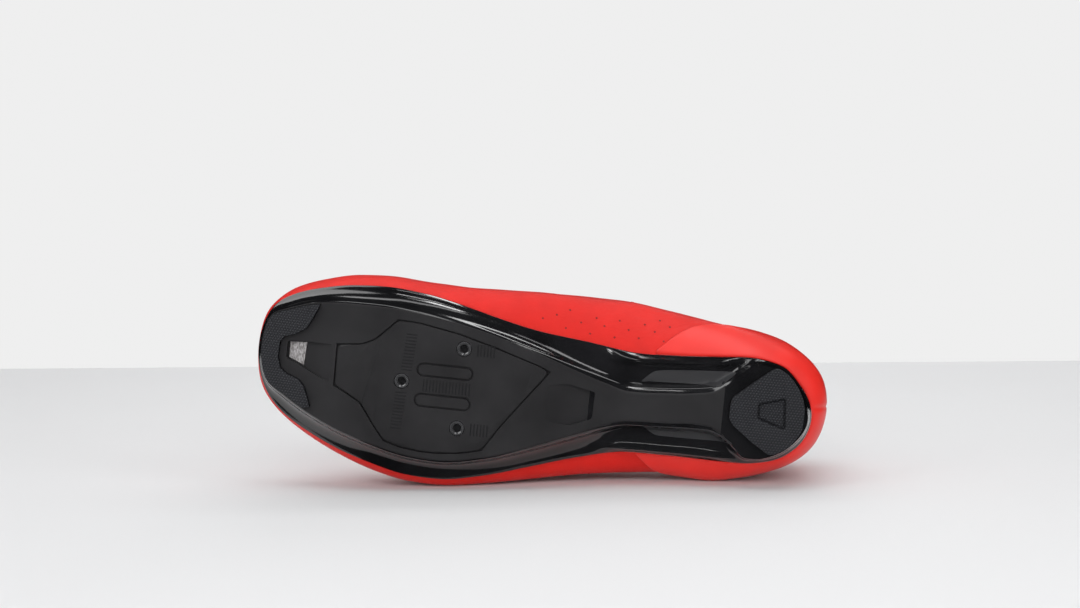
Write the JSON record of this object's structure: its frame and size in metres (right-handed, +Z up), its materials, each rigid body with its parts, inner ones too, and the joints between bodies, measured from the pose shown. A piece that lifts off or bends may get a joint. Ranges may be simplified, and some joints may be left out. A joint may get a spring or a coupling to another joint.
{
  "type": "cycling shoe",
  "caption": "Right-foot road cycling shoe lying on its outer side: stiff plate sole with cleat face and pads, shaped upper, tongue and straps.",
  "frame": {"origin": "bottom centre of the box round the shoe as it lies on its outer side", "axes": "+X from toe to heel, +Y from the sole towards the instep, +Z up, from the shoe's outer side to its inner side"},
  "size_m": [0.2836, 0.1056, 0.1049],
  "materials": {
    "sole_composite": "glossy near-black moulded composite, matte dark grey on the flat plate",
    "plate_plastic": "matte dark grey, fine moulded grain",
    "nut_metal": "black anodised, turned",
    "pad_rubber": "matte black rubber with a fine raised dot texture",
    "vent_fabric": "light grey ribbed mesh",
    "red_microfibre": "bright coral red matte microfibre with a fine grain and small perforations",
    "red_cup": "smooth satin coral red heel cup",
    "insole_fabric": "black brushed textile",
    "tongue_microfibre": "red perforated microfibre",
    "strap_microfibre": "red microfibre strap with stitched edges"
  },
  "bodies": {
    "root": {"outsole": "sole_composite", "cleat_plate": "plate_plastic", "cleat_nut_front": "nut_metal", "cleat_nut_medial": "nut_metal", "cleat_nut_lateral": "nut_metal", "heel_pad": "pad_rubber", "toe_pad": "pad_rubber", "toe_vent": "vent_fabric", "upper": "red_microfibre", "heel_counter": "red_cup", "insole": "insole_fabric", "tongue": "tongue_microfibre", "strap_front": "strap_microfibre", "strap_middle": "strap_microfibre", "strap_top": "strap_microfibre"}
  },
  "joints": []
}
